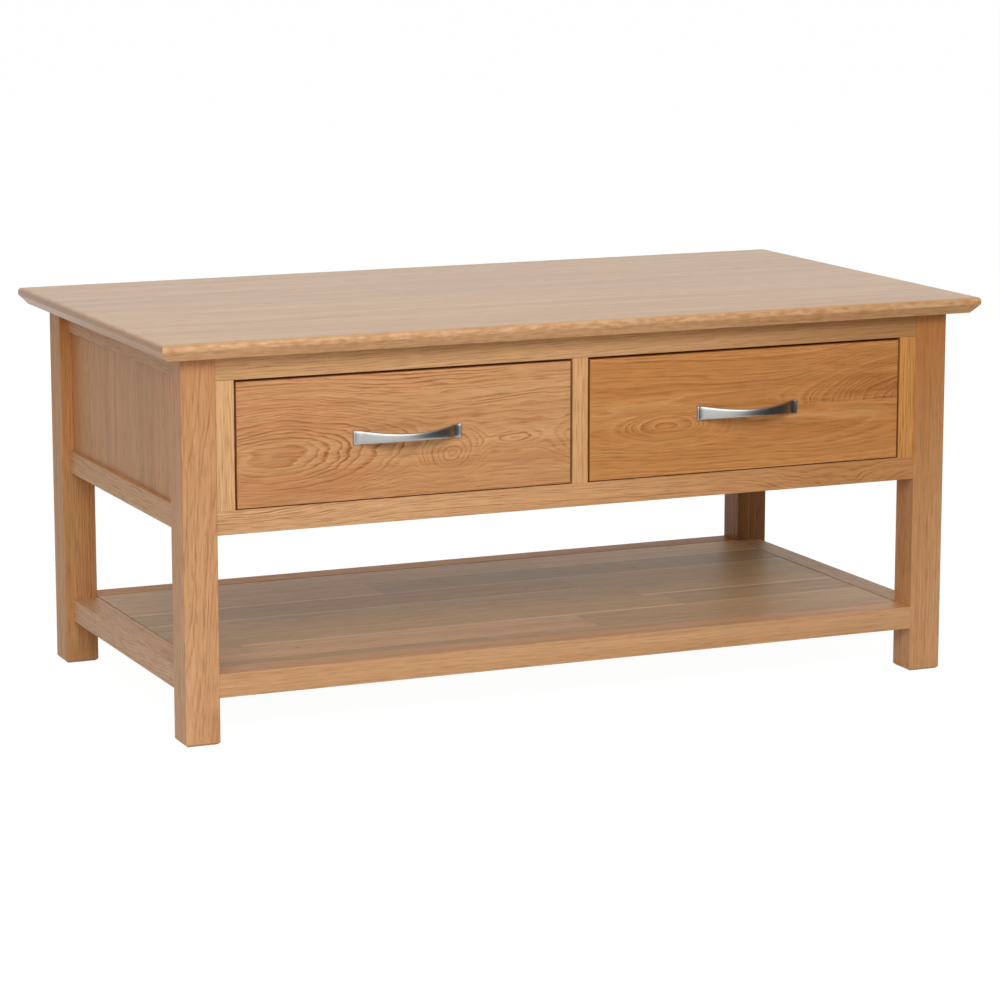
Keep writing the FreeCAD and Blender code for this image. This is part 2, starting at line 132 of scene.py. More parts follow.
figure = {                     # what every board shares
    "spans": {                 # the low and high end of each noise that show
        "streak": (0.36, 0.66), "fade": (0.34, 0.6), "pore": (0.54, 0.72),
        "fibre": (0.32, 0.68), "fleck": (0.32, 0.68), "glow": (0.36, 0.64)},
    "ringDetail": 1.5, "bendDetail": 1.0, "yearDetail": 1.0, "grainDetail": 2.0,  # how fine each noise gets
    "uneven": 2.6, "unevenPace": 0.31,      # years that lean and fat spells shift a ring, how fast they come
    "faintest": 0.4,           # the weakest year's line against the strongest
    "lateFull": 0.86, "lateDrop": 0.84,     # where in a year the late wood is darkest, and where it drops off
    "earlyTo": 0.22, "earlyShow": 0.7,      # where in a year the pale early wood ends, and how pale it is
    "fadeLeast": 0.4,          # what is left of a line that fades out
    "fibreLift": 0.7, "staveLift": 0.5,     # how far fibres and staves lighten against how far they darken
    "sapWide": 9.0, "sapFrom": 0.55,        # the sapwood's width, and the draw above which a stave has it
    "staveAway": (3000.0, -1.4, 50.0),      # how far apart staves lie in the log: along, stave widths, depth
    "swellDeep": 200.0,        # half the depth of a swell
    "knotDeep": 10.0, "knotCore": 0.2, "knotShow": 0.7,   # half a knot's depth, its core, how dark it is
    "edgeTurn": (0.5, 0.95), "edgeShare": 0.55,           # how upright the normal is on a cut edge and off it
    "endTurn": (0.55, 0.95), "endShow": 0.75,             # how far the normal follows the grain at an end
    "lineDeep": 0.5, "bump": 0.25, "bumpDeep": 0.2,       # lines against pores, and the bump's depth
    "ior": 1.5,                # of the lacquer
}


def stretchedNoise(tree, coords, size, detail):
    # soft noise whose spots have this length, width and depth
    spread = put(tree, "VectorMath", {"operation": "DIVIDE"}, {0: coords, 1: [value * mm for value in size]})
    noise = put(tree, "TexNoise", {}, {"Vector": spread.outputs[0], "Scale": 1.0, "Detail": detail})
    return noise.outputs["Fac"]


def mound(tree, coords, place, size, turn, core, top):
    # an ellipsoid that is full inside its core and falls smoothly to nothing at its skin
    spot = put(tree, "Mapping", {"vector_type": "TEXTURE"}, {
        "Vector": coords, "Location": [value * mm for value in place],
        "Rotation": (0, math.radians(turn), 0), "Scale": [value * mm for value in size]})
    reach = put(tree, "VectorMath", {"operation": "LENGTH"}, {0: spot.outputs[0]})
    fall = put(tree, "MapRange", smooth, {
        "Value": reach.outputs["Value"], "From Min": core, "From Max": 1.0, "To Min": top, "To Max": 0.0})
    return fall.outputs[0]


def gluedUp(tree, local, look):
    # each stave gets its own place in the log: rows across the grain, then lengths along it
    wide, long, _ = look["stave"]
    axes = put(tree, "SeparateXYZ", {}, {0: local})
    rows = put(tree, "Math", {"operation": "DIVIDE"}, {0: axes.outputs[1], 1: wide * mm})
    row = put(tree, "Math", {"operation": "FLOOR"}, {0: rows.outputs[0]})
    jog = put(tree, "TexWhiteNoise", {"noise_dimensions": "1D"}, {"W": row.outputs[0]})
    runs = put(tree, "Math", timesPlus, {0: axes.outputs[0], 1: 1 / (long * mm), 2: jog.outputs["Value"]})
    run = put(tree, "Math", {"operation": "FLOOR"}, {0: runs.outputs[0]})
    cell = put(tree, "CombineXYZ", {}, {0: row.outputs[0], 1: run.outputs[0]})
    chance = put(tree, "TexWhiteNoise", {"noise_dimensions": "2D"}, {"Vector": cell.outputs[0]})
    draws = put(tree, "SeparateColor", {}, {0: chance.outputs["Color"]})
    share = put(tree, "Math", {"operation": "FRACT"}, {0: rows.outputs[0]})
    inRow = put(tree, "Math", times, {0: share.outputs[0], 1: wide * mm})
    stave = put(tree, "CombineXYZ", {}, {0: axes.outputs[0], 1: inRow.outputs[0], 2: axes.outputs[2]})
    sapEdge = put(tree, "MapRange", smooth, {
        "Value": inRow.outputs[0], "From Max": figure["sapWide"] * mm, "To Min": look["sap"], "To Max": 0.0})
    hasSap = put(tree, "Math", {"operation": "GREATER_THAN"}, {0: draws.outputs[1], 1: figure["sapFrom"]})
    sapwood = put(tree, "Math", times, {0: sapEdge.outputs[0], 1: hasSap.outputs[0]})
    along, across, deep = figure["staveAway"]
    moved = put(tree, "VectorMath", timesPlus, {
        0: chance.outputs["Color"], 1: (along * mm, across * wide * mm, deep * mm), 2: stave.outputs[0]})
    return moved.outputs[0], (chance.outputs["Value"], sapwood.outputs[0], draws.outputs[2])


def growthRings(tree, coords, look):
    # years = (distance from the heart line + sway + waver - swells) / one year's growth
    turn = Euler([math.radians(angle) for angle in grainTurn[look["grain"]]]).to_matrix()
    lean = Euler((0, *[math.radians(angle) for angle in look["lean"]])).to_matrix()
    local = put(tree, "Mapping", {"vector_type": "TEXTURE"}, {
        "Vector": coords, "Location": [value * mm for value in look["pith"]],
        "Rotation": (turn @ lean).to_euler()}).outputs[0]
    staves = None
    if look["stave"]:
        local, staves = gluedUp(tree, local, look)
    across = put(tree, "VectorMath", times, {0: local, 1: (0, 1, 1)})
    radius = put(tree, "VectorMath", {"operation": "LENGTH"}, {0: across.outputs[0]}).outputs["Value"]
    for part in ("sway", "waver"):
        size = look[part + "Long"], look[part + "Wide"], look[part + "Wide"]
        noise = stretchedNoise(tree, local, size, figure["ringDetail"])
        radius = put(tree, "Math", timesPlus, {0: noise, 1: 2 * look[part] * mm, 2: radius}).outputs[0]
    heart = None
    if look["swells"]:
        far, fine = look["bend"]
        noise = put(tree, "TexNoise", {}, {
            "Vector": coords, "Scale": 1 / (fine * mm), "Detail": figure["bendDetail"]})
        bent = put(tree, "VectorMath", timesPlus, {0: noise.outputs["Color"], 1: [far * mm] * 3, 2: coords})
        bent = put(tree, "VectorMath", {"operation": "SUBTRACT"}, {0: bent.outputs[0], 1: [far * mm / 2] * 3})
    for x, z, long, wide, height, angle in look["swells"]:
        place, size = (x, look["face"], z), (long, figure["swellDeep"], wide)
        swell = mound(tree, bent.outputs[0], place, size, -angle, 0.0, height * mm)
        radius = put(tree, "Math", {"operation": "SUBTRACT"}, {0: radius, 1: swell}).outputs[0]
        heart = put(tree, "Math", {"operation": "ADD"}, {0: swell, 1: heart or 0.0}).outputs[0]
    years = put(tree, "Math", {"operation": "DIVIDE"}, {0: radius, 1: look["ring"] * mm}).outputs[0]
    return local, staves, years, heart


def lateWood(tree, years, look):
    # where in its year a point lies, how dark that year's line is there, and how strong the line is
    pace = put(tree, "Math", times, {0: years, 1: figure["unevenPace"]}).outputs[0]
    spell = put(tree, "TexNoise", {"noise_dimensions": "1D"}, {
        "W": pace, "Scale": 1.0, "Detail": figure["yearDetail"]}).outputs["Fac"]
    years = put(tree, "Math", timesPlus, {0: spell, 1: figure["uneven"], 2: years}).outputs[0]
    phase = put(tree, "Math", {"operation": "FRACT"}, {0: years}).outputs[0]
    year = put(tree, "Math", {"operation": "FLOOR"}, {0: years}).outputs[0]
    chance = put(tree, "TexWhiteNoise", {"noise_dimensions": "1D"}, {"W": year}).outputs["Value"]
    strength = put(tree, "MapRange", {}, {
        "Value": chance, "To Min": look["lines"] * figure["faintest"], "To Max": look["lines"]}).outputs[0]
    rise = put(tree, "MapRange", smooth, {
        "Value": phase, "From Min": look["lateFrom"], "From Max": figure["lateFull"]}).outputs[0]
    fall = put(tree, "MapRange", smooth, {
        "Value": phase, "From Min": figure["lateDrop"], "From Max": 1.0,
        "To Min": 1.0, "To Max": 0.0}).outputs[0]
    line = put(tree, "Math", times, {0: rise, 1: fall}).outputs[0]
    return phase, line, strength


def woodMaterial(name, look):
    # lines of late wood and stains over them, lighter and darker fibres, then pores, knots and end grain
    material, tree = emptyTree(name)
    coords = put(tree, "TexCoord", {}, {}).outputs["Object"]
    normal = put(tree, "NewGeometry", {}, {}).outputs["Normal"]
    local, staves, years, heart = growthRings(tree, coords, look)
    if look["upper"]:  # a second board glued on above the first
        *_, yearsAbove, heartAbove = growthRings(tree, coords, look["upper"])
        height = put(tree, "SeparateXYZ", {}, {0: coords}).outputs[2]
        joint = look["upper"]["joint"] * mm
        above = put(tree, "Math", {"operation": "GREATER_THAN"}, {0: height, 1: joint}).outputs[0]
        years = put(tree, "Mix", {}, {0: above, 2: years, 3: yearsAbove}).outputs[0]
        heart = put(tree, "Mix", {}, {0: above, 2: heart, 3: heartAbove}).outputs[0]
    phase, line, strength = lateWood(tree, years, look)
    shown = {}
    for part, (low, high) in figure["spans"].items():
        size = look[part + "Long"], look[part + "Wide"], look[part + "Wide"]
        noise = stretchedNoise(tree, local, size, figure["grainDetail"])
        shown[part] = put(tree, "MapRange", {}, {
            "Value": noise, "From Min": low, "From Max": high}).outputs[0]

    fades = [put(tree, "MapRange", {}, {"Value": shown["fade"], "To Min": figure["fadeLeast"]}),
             put(tree, "MapRange", {}, {
                 "Value": shown["fleck"], "To Min": 1 + look["broken"], "To Max": 1 - look["broken"]})]
    if heart:  # flat-sawn arches show more than the plain wood round them
        full = {"Value": heart, "From Max": look["archDeep"] * mm}
        fades.append(put(tree, "MapRange", {}, {
            **full, "To Min": look["archFrom"], "To Max": look["archShow"]}))
    if look["edgeTones"]:
        upright = put(tree, "SeparateXYZ", {}, {0: normal}).outputs[2]
        upright = put(tree, "Math", {"operation": "ABSOLUTE"}, {0: upright}).outputs[0]
        turned = {"Value": upright, "From Min": figure["edgeTurn"][0], "From Max": figure["edgeTurn"][1]}
        fades.append(put(tree, "MapRange", {}, {**turned, "To Min": look["edgeShow"], "To Max": 1.0}))
        cutEdge = put(tree, "MapRange", {}, {
            **turned, "To Min": figure["edgeShare"], "To Max": 0.0}).outputs[0]
        paler, darker = [colour(code) for code in look["edgeTones"]]
        edgeFlecks = put(tree, "Mix", colours, {0: shown["glow"], 6: paler, 7: darker}).outputs[2]
    for fade in fades:
        strength = put(tree, "Math", times, {0: strength, 1: fade.outputs[0]}).outputs[0]

    lineShow = put(tree, "Math", times, {0: line, 1: strength}).outputs[0]
    early = put(tree, "MapRange", smooth, {
        "Value": phase, "From Max": figure["earlyTo"],
        "To Min": figure["earlyShow"], "To Max": 0.0}).outputs[0]
    early = put(tree, "Math", times, {0: early, 1: strength}).outputs[0]
    streak = put(tree, "Math", times, {0: shown["streak"], 1: look["streak"]}).outputs[0]
    stains = [(lineShow, colour(look["dark"])), (early, colour(look["pale"])), (streak, colour(look["warm"]))]
    shades = [(shown[part], look[part], figure["fibreLift"]) for part in ("fibre", "fleck")]
    if heart:
        glow = put(tree, "MapRange", {}, {**full, "To Max": look["heart"]}).outputs[0]
        glow = put(tree, "Math", times, {0: glow, 1: shown["glow"]}).outputs[0]
        stains.append((glow, colour(look["dark"])))
    if look["edgeTones"]:
        stains.append((cutEdge, edgeFlecks))
    # painted shade: the board darkens towards its warm tone from one place along the grain to the next, where
    # less light falls
    if look["paintedShade"]:
        start, stop, share = look["paintedShade"]
        along = put(tree, "SeparateXYZ", {}, {0: coords}).outputs["xyz".index(look["grain"])]
        paintedShade = put(tree, "MapRange", {}, {
            "Value": along, "From Min": start * mm, "From Max": stop * mm, "To Max": share}).outputs[0]
        stains.append((paintedShade, colour(look["warm"])))
    if staves:
        tone, sapwood, lean = staves
        if look["cast"]:
            code, share = look["cast"]
            cast = put(tree, "Math", times, {0: lean, 1: share}).outputs[0]
            stains.append((cast, colour(code)))
        stains.append((sapwood, colour(look["pale"])))
        shades.append((tone, look["stave"][2], figure["staveLift"]))
    wood = colour(look["light"])
    for share, tint in stains:
        wood = put(tree, "Mix", colours, {0: share, 6: wood, 7: tint}).outputs[2]
    for value, share, lift in shades:
        shade = put(tree, "MapRange", {}, {
            "Value": value, "To Min": 1 - share, "To Max": 1 + share * lift}).outputs[0]
        wood = put(tree, "Mix", {**colours, "blend_type": "MULTIPLY"}, {0: 1.0, 6: wood, 7: shade}).outputs[2]

    pores = put(tree, "Math", times, {0: shown["pore"], 1: look["poreShow"]}).outputs[0]
    marks = [(pores, colour(look["pore"]))]
    for x, y, z, long, wide in look["knots"]:
        size = long, wide, figure["knotDeep"]
        knot = mound(tree, coords, (x, y, z), size, 0.0, figure["knotCore"], figure["knotShow"])
        marks.append((knot, colour(look["pore"])))
    facing = put(tree, "VectorMath", {"operation": "DOT_PRODUCT"}, {0: normal, 1: grainAxis[look["grain"]]})
    facing = put(tree, "Math", {"operation": "ABSOLUTE"}, {0: facing.outputs["Value"]}).outputs[0]
    endGrain = put(tree, "MapRange", {}, {
        "Value": facing, "From Min": figure["endTurn"][0], "From Max": figure["endTurn"][1],
        "To Max": figure["endShow"]}).outputs[0]
    marks.append((endGrain, colour(look["end"])))
    for share, tint in marks:
        wood = put(tree, "Mix", colours, {0: share, 6: wood, 7: tint}).outputs[2]

    rough = put(tree, "MapRange", {}, {
        "Value": shown["pore"], "To Min": look["rough"][0], "To Max": look["rough"][1]}).outputs[0]
    hollow = put(tree, "Math", timesPlus, {0: lineShow, 1: figure["lineDeep"], 2: shown["pore"]}).outputs[0]
    bump = put(tree, "Bump", {"invert": True}, {
        "Strength": figure["bump"], "Distance": figure["bumpDeep"] * mm, "Height": hollow}).outputs[0]
    shader = put(tree, "BsdfPrincipled", {}, {
        "Base Color": wood, "Roughness": rough, "Normal": bump,
        "IOR": figure["ior"], "Specular IOR Level": look["sheen"]})
    put(tree, "OutputMaterial", {}, {"Surface": shader.outputs[0]})
    return material


finishes = {
    # the top: wide glued-up oak staves, pale and nearly plain, shinier, with flecked cut edges
    "oak_top": {
        "light": "#E8B986", "dark": "#C08448", "pale": "#F4D0A6", "warm": "#CC9258", "lines": 0.22,
        "streak": 0.42, "streakLong": 420.0, "streakWide": 26.0, "glowLong": 15.0, "glowWide": 4.5,
        "poreShow": 0.2, "fibre": 0.04, "fleck": 0.04, "edgeShow": 1.5, "edgeTones": ("#F8C89A", "#CE8446"),
        "stave": (92, 9000, 0.05), "sheen": 0.5, "rough": (0.34, 0.44)},
    # legs, rails and stiles: solid oak with thin lines that break up into short strokes
    "oak_frame": {"lateFrom": 0.35, "broken": 0.5},
    # side and back panels: oak boards edge to edge, a little darker and quieter
    "oak_panel": {"light": "#D8A26E", "dark": "#AC6C38", "lines": 0.4, "stave": (70, 4000, 0.1)},
    # the shelf: short oak staves of many tones, some olive, some with pale sapwood along one side
    "oak_shelf": {
        "light": "#E6BC92", "dark": "#B4804E", "pale": "#F0D8B4", "warm": "#BC8450", "lines": 0.5,
        "stave": (66, 560, 0.15), "sap": 0.75, "cast": ("#AE9A68", 0.5),
        "sheen": 0.26, "rough": (0.45, 0.55)},
    # drawer fronts: flat-sawn oak with strong thin lines and arches
    "oak_drawer_front": {
        "light": "#DEA572", "dark": "#AC642C", "pale": "#EABE92", "warm": "#C47C46", "lines": 0.9,
        "lateFrom": 0.39, "broken": 0.5, "streak": 0.4, "waver": 1.4, "waverLong": 80.0, "waverWide": 13.0},
    # drawer boxes: sealed poplar, pale yellow with faint lines
    "drawer_wood": {
        "light": "#E2C79C", "dark": "#C9A36C", "warm": "#D6B380", "pore": "#A98455", "end": "#BE975F",
        "lines": 0.35, "rough": (0.5, 0.62)},
    # runners, guides, kickers and stops: bare planed poplar, a little browner and matt
    "runner_wood": {
        "light": "#DCC096", "dark": "#BE9964", "warm": "#CFAD7A", "pore": "#A98455", "end": "#B48F5C",
        "lines": 0.4, "rough": (0.58, 0.7)},
    # drawer bottoms: sealed birch plywood, whose peeled face has wide faint bands and few pores
    "birch_plywood": {
        "light": "#E6D2AE", "dark": "#D2B588", "warm": "#DCC298", "pore": "#BE9D6E", "end": "#C4A06C",
        "ring": 9.0, "lines": 0.3, "poreShow": 0.15, "rough": (0.5, 0.58)},
}

boards = {                     # what sets single boards apart
    # painted shade on legs darkens their upper parts under the table top, and on rails their right ends, away
    # from the key light
    "leg_front_left": {
        "light": "#EAB484", "dark": "#B0703A", "lines": 0.68, "pith": (-95, 25, 0), "lean": (0.6, 2.4),
        "paintedShade": (80, 430, 0.5)},
    "leg_front_right": {
        "light": "#E4AE7C", "dark": "#B0703A", "warm": "#BC783C", "lines": 0.4, "pith": (90, 35, 0),
        "paintedShade": (80, 400, 0.85)},
    "leg_back_left": {
        "light": "#E0A870", "dark": "#AC6C34", "warm": "#B87030", "pith": (-80, -30, 0),
        "paintedShade": (120, 440, 0.4)},
    # darker than the other legs: painted shade for the shadow under the drawer box above it
    "leg_back_right": {"light": "#A87442", "dark": "#7C4A1E", "warm": "#8C5626"},
    "front_stile_left": {
        "light": "#F2C08E", "dark": "#C8864C", "warm": "#DBA066", "lines": 0.9, "pith": (70, 30, 0)},
    "front_stile_right": {
        "light": "#E09E54", "dark": "#B86E2A", "warm": "#CC823E", "lines": 0.9, "pith": (-75, 25, 0)},
    "centre_muntin": {"light": "#EDB680", "dark": "#C4824A", "warm": "#D7985C", "pith": (80, 40, 0)},
    "front_top_rail": {
        "light": "#E6B684", "dark": "#B0743A", "warm": "#B07C48", "lines": 0.55, "pith": (0, 20, 70),
        "lean": (-1.2, 0), "paintedShade": (0, 420, 0.8)},
    "front_lower_rail": {
        "light": "#F2C08E", "dark": "#AE6A34", "warm": "#BC7632", "lines": 1.2, "pith": (0, 25, -60),
        "lean": (1.2, 0), "paintedShade": (-320, 330, 0.62), "heart": 0.2,
        "swells": ((-425, 24, 270, 62, 42, 0), (330, -20, 160, 40, 24, 0))},
    "side_lower_rail_left": {"light": "#E0AE7C"},
    "back_panel": {"stave": (70, 90000, 0.1)},
    "shelf_front_rail": {"light": "#E2B080", "lines": 0.3, "poreShow": 0.24, "pith": (0, 30, -70)},
    "shelf_side_rail_left": {"light": "#ECBE92", "dark": "#B87A46"},
    "shelf_side_rail_right": {"light": "#D0AE88", "dark": "#A87848"},
    "shelf_back_rail": {
        "light": "#E2A563", "dark": "#B4783C", "warm": "#98602C", "sheen": 0.15, "paintedShade": (60, 420, 0.6)},
    "shelf_panel": {
        "knots": ((-185, 40, 9, 5, 2.5), (60, 40, 9, 6, 3), (235, 100, 9, 5, 3), (-310, -150, 9, 6, 3))},
    "drawer_left_front": {
        "light": "#E0A874", "dark": "#B0662C", "lines": 0.8, "heart": 0.24, "pith": (0, 45, -6), "ring": 3.4,
        "waver": 2.0, "waverLong": 40.0, "waverWide": 8.0, "archFrom": 1.25,
        "swells": ((-150, -20, 200, 100, 36, 4), (54, -28, 54, 44, 26, 25),
                   (130, -14, 54, 14, 7.2, 3), (245, -22, 85, 50, 18, 0))},
    "drawer_right_front": {
        "light": "#D89656", "dark": "#A25C22", "pale": "#F0C48C", "warm": "#BC7234", "heart": 0.7,
        "archDeep": 40.0, "archShow": 1.8, "pith": (0, 62, -14), "swells": ((-98, -11, 104, 36, 17, 4),),
        "upper": {"pith": (0, 60, 4), "swells": ((230, 2, 205, 98, 46, 4),), "joint": 2}},
}

log = {                        # where boards come from in the log, so that no two are alike
    "apart": 731.0,            # from one board to the next, along the grain
    "turn": 2.4,               # radians round the heart line, for a board that gives no heart line
    "near": 60.0, "step": 37.0, "spread": 40.0,   # how far that board is from it: near, or up to spread more
    "upperAway": 7,            # boards between the two halves of a glued-up front
}


def grainOf(node):
    # boards run the way they are longest, and the side panels run up
    if node.startswith(("leg", "front_stile", "centre_muntin", "side_panel")):
        return "z"
    if node.startswith(("side_", "shelf_side", "runner", "guide", "kicker")) or "_side_" in node:
        return "y"
    return "x"


def placed(look, middle, index):
    # turns a heart line, swells and knots given from the board's middle into places in the frame
    along = "xyz".index(look["grain"])
    if look["pith"] is None:
        angle = index * log["turn"]
        far = log["near"] + index * log["step"] % log["spread"]
        off = [far * math.cos(angle), far * math.sin(angle)]
        off.insert(along, 0.0)
    else:
        off = list(look["pith"])
    off[along] += index * log["apart"]
    swells = [(x + middle[0], z + middle[2], *rest) for x, z, *rest in look["swells"]]
    knots = [(x + middle[0], y + middle[1], z + middle[2], *rest) for x, y, z, *rest in look["knots"]]
    return {**look, "pith": [a + b for a, b in zip(middle, off)], "swells": swells, "knots": knots}


wooden = [node for node in sorted(frame["nodes"]) if slotOf[node] in finishes]
woods = {}
for index, node in enumerate(wooden):
    low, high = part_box(node)
    middle = [(a + b) / 2 / mm for a, b in zip(low, high)]
    own = {**oak, "grain": grainOf(node), **finishes[slotOf[node]], **boards.get(node, {})}
    own["face"] = low[1] / mm  # swells lie on the board's front
    look = placed(own, middle, index)
    if own["upper"]:
        upper = placed({**own, **own["upper"]}, middle, index + log["upperAway"])
        look["upper"] = {**upper, "joint": upper["joint"] + middle[2]}
    woods[node] = woodMaterial(f"{slotOf[node]}_{node}", look)
    dress(node, woods[node])
print("wood on", len(wooden), "boards")

metals = {
    # nickel plate brushed along the bar: a soft streaky shine, its 0.1 mm scratches drawn coarser to show
    "satin_nickel": {
        "name": "brushed_nickel", "light": "#BBBBB8", "dark": "#A3A3A1", "patch": (30.0, 0.6, 0.6),
        "detail": 2.0, "rough": (0.3, 0.44), "bump": 0.12, "bumpDeep": 0.1},
    # bright zinc plate on steel screws: grey with faint cloudy patches
    "zinc_plated_steel": {
        "name": "zinc_plated_steel", "light": "#B9BABB", "dark": "#9C9EA1", "patch": (2.5, 2.5, 2.5),
        "detail": 2.0, "rough": (0.25, 0.42), "bump": None},
}


def metalMaterial(plate):
    material, tree = emptyTree(plate["name"])
    coords = put(tree, "TexCoord", {}, {}).outputs["Object"]
    noise = stretchedNoise(tree, coords, plate["patch"], plate["detail"])
    shade = put(tree, "Mix", colours, {0: noise, 6: colour(plate["light"]), 7: colour(plate["dark"])})
    rough = put(tree, "MapRange", {}, {
        "Value": noise, "To Min": plate["rough"][0], "To Max": plate["rough"][1]})
    skin = {"Base Color": shade.outputs[2], "Metallic": 1.0, "Roughness": rough.outputs[0]}
    if plate["bump"]:
        skin["Normal"] = put(tree, "Bump", {}, {
            "Strength": plate["bump"], "Distance": plate["bumpDeep"] * mm, "Height": noise}).outputs[0]
    shader = put(tree, "BsdfPrincipled", {}, skin)
    put(tree, "OutputMaterial", {}, {"Surface": shader.outputs[0]})
    return material


plates = {slot: metalMaterial(plate) for slot, plate in metals.items()}
for node in frame["nodes"]:
    if slotOf[node] in plates:
        dress(node, plates[slotOf[node]])
print("metal on handles and screws")


def ringedSurface(name, points, sharp):
    # rows of closed rings joined into a skin, with a flat face closing the first and the last ring
    rows, columns = points.shape[:2]
    index = np.arange(rows * columns).reshape(rows, columns)
    beside = np.roll(index, -1, axis=1)
    quads = np.stack([index[:-1], beside[:-1], beside[1:], index[1:]], axis=-1).reshape(-1, 4)
    corners = points.reshape(-1, 3)[quads]
    outward = np.einsum("ij,ij->", corners.mean(axis=1) - points.reshape(-1, 3).mean(axis=0),
                        np.cross(corners[:, 2] - corners[:, 0], corners[:, 3] - corners[:, 1]))
    faces = quads.tolist() + [index[0][::-1].tolist(), index[-1].tolist()]
    if outward < 0:
        faces = [face[::-1] for face in faces]
    mesh = bpy.data.meshes.new(name)
    mesh.from_pydata(points.reshape(-1, 3).tolist(), [], faces)
    mesh.polygons.foreach_set("use_smooth", np.ones(len(mesh.polygons), bool))
    mesh.set_sharp_from_angle(angle=math.radians(sharp))
    piece = bpy.data.objects.new(name, mesh)
    bpy.context.scene.collection.objects.link(piece)
    return piece


topEdge = {
    "bevelRun": 10.0, "bevelRise": 11.0, "nose": 3.5, "edge": 5.0,  # as in the solid
    "corner": 2.5, "cornerLeast": 0.25,    # the corners' radius in plan, and what is left of it further in
    "noseSteps": 7, "edgeSteps": 11, "cornerSteps": 7,
    "sharp": 25,                           # degrees, past which an edge stays crisp
}


def mouldedTop():
    # the edge's profile (inset, height) carried round a rectangle whose corners are rounded in plan
    low, high = [np.array(corner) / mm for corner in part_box("table_top")]
    slope = math.atan2(topEdge["bevelRun"], topEdge["bevelRise"])
    noseHeight = low[2] + topEdge["bevelRise"] + topEdge["nose"] * math.tan(slope / 2)
    turn = np.linspace(-slope, 0, topEdge["noseSteps"])
    nose = np.stack([topEdge["nose"] * (1 - np.cos(turn)),
                     noseHeight + topEdge["nose"] * np.sin(turn)], axis=1)
    turn = np.linspace(0, math.pi / 2, topEdge["edgeSteps"])
    edge = np.stack([topEdge["edge"] * (1 - np.cos(turn)),
                     high[2] - topEdge["edge"] * (1 - np.sin(turn))], axis=1)
    profile = np.vstack([[[topEdge["bevelRun"], low[2]]], nose, edge])
    inset, height = profile[:, :1], profile[:, 1:]
    radius = np.maximum(topEdge["corner"] - inset, topEdge["cornerLeast"])
    quarter = np.linspace(0, math.pi / 2, topEdge["cornerSteps"])
    angles = np.concatenate([quarter + corner * math.pi / 2 for corner in range(4)])[None, :]
    sideX = np.repeat([1, -1, -1, 1], len(quarter))[None, :]
    sideY = np.repeat([1, 1, -1, -1], len(quarter))[None, :]
    x = sideX * (high[0] - inset - radius) + radius * np.cos(angles)
    y = sideY * (high[1] - inset - radius) + radius * np.sin(angles)
    points = np.stack([x, y, np.broadcast_to(height, x.shape)], axis=-1) * mm
    return ringedSurface("moulded_top", points, topEdge["sharp"])


top = mouldedTop()
top.data.materials.append(woods["table_top"])
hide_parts("table_top")
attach(top, "carcass")
print("moulded top made")

bow = {
    "lip": 2.4, "lipOut": 3.2,             # the flat lip at each end: its length, and how far it stands out
    "flare": 14.0, "bar": 5.0,             # the radius that runs into the lip, and the bar's thickness
    "foot": 24.0, "footGap": 0.05,         # each foot's length, and the gap that keeps its inner wall upright
    "waist": 8.8, "draft": 0.24,           # the height in the middle, and how fast a foot narrows inwards
    "front": 3.0, "back": 14.0,            # how square the section's two sides are
    "soften": 0.9,                         # the rounding of the last edge
    "barSteps": 28, "footSteps": 14, "flareSteps": 12, "lipSteps": 5, "softSteps": 6, "round": 64,
    "sharp": 40,                           # degrees, past which an edge stays crisp
}


def bowHandle(name, node):
    # a section like a squared ellipse, carried along a bow: an arc with a small flare and lip at each end
    low, high = [np.array(corner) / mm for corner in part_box(node)]
    middle = (low + high) / 2
    end, tall, projection = (high[0] - low[0]) / 2, (high[2] - low[2]) / 2, high[1] - low[1]
    lipStart, softStart, foot = end - bow["lip"], end - bow["soften"], end - bow["foot"]
    turn = 2 * math.atan2(projection - bow["lipOut"], lipStart)
    crown = lipStart / math.sin(turn) - bow["flare"]
    bend = crown * math.sin(turn)
    outer = np.unique(np.concatenate([
        np.linspace(0, foot - bow["footGap"], bow["barSteps"]), np.linspace(foot, bend, bow["footSteps"]),
        np.linspace(bend, lipStart, bow["flareSteps"]), np.linspace(lipStart, softStart, bow["lipSteps"]),
        end - bow["soften"] * (1 - np.sin(np.linspace(0, math.pi / 2, bow["softSteps"])))]))
    along = np.concatenate([-outer[:0:-1], outer])
    far = np.abs(along)
    arc = projection - crown + np.sqrt(np.maximum(crown ** 2 - far ** 2, 0))
    flare = bow["lipOut"] + bow["flare"] - np.sqrt(np.maximum(bow["flare"] ** 2 - (lipStart - far) ** 2, 0))
    front = np.where(far < bend, arc, np.where(far < lipStart, flare, bow["lipOut"]))
    inner = projection - crown + np.sqrt(np.maximum((crown - bow["bar"]) ** 2 - far ** 2, 0))
    back = np.where(far < foot, inner, 0.0)
    sag = tall - bow["waist"] / 2
    outline = (end ** 2 + sag ** 2) / (2 * sag)
    height = bow["waist"] / 2 + outline - np.sqrt(outline ** 2 - far ** 2)
    past = np.clip((far - softStart) / bow["soften"], 0, 1)
    ease = bow["soften"] * (1 - np.sqrt(1 - past ** 2))  # rounds the last edge
    height, front = height - ease, front - ease
    angle = np.linspace(0, 2 * math.pi, bow["round"], endpoint=False)[None, :]
    square = np.where(np.cos(angle) > 0, bow["front"], bow["back"])
    reach = np.sign(np.cos(angle)) * np.abs(np.cos(angle)) ** (2 / square)
    rise = np.sign(np.sin(angle)) * np.abs(np.sin(angle)) ** (2 / square)
    core = front - bow["bar"] / 2  # the front half keeps the bar's own roundness, over the feet too
    out = core[:, None] + np.where(reach > 0, bow["bar"] / 2, (core - back)[:, None]) * reach
    taper = height[:, None] - bow["draft"] * np.maximum(core[:, None] - out, 0)
    points = np.stack([np.broadcast_to(middle[0] + along[:, None], out.shape), high[1] - out,
                       middle[2] + taper * rise], axis=-1) * mm
    return ringedSurface(name, points, bow["sharp"])


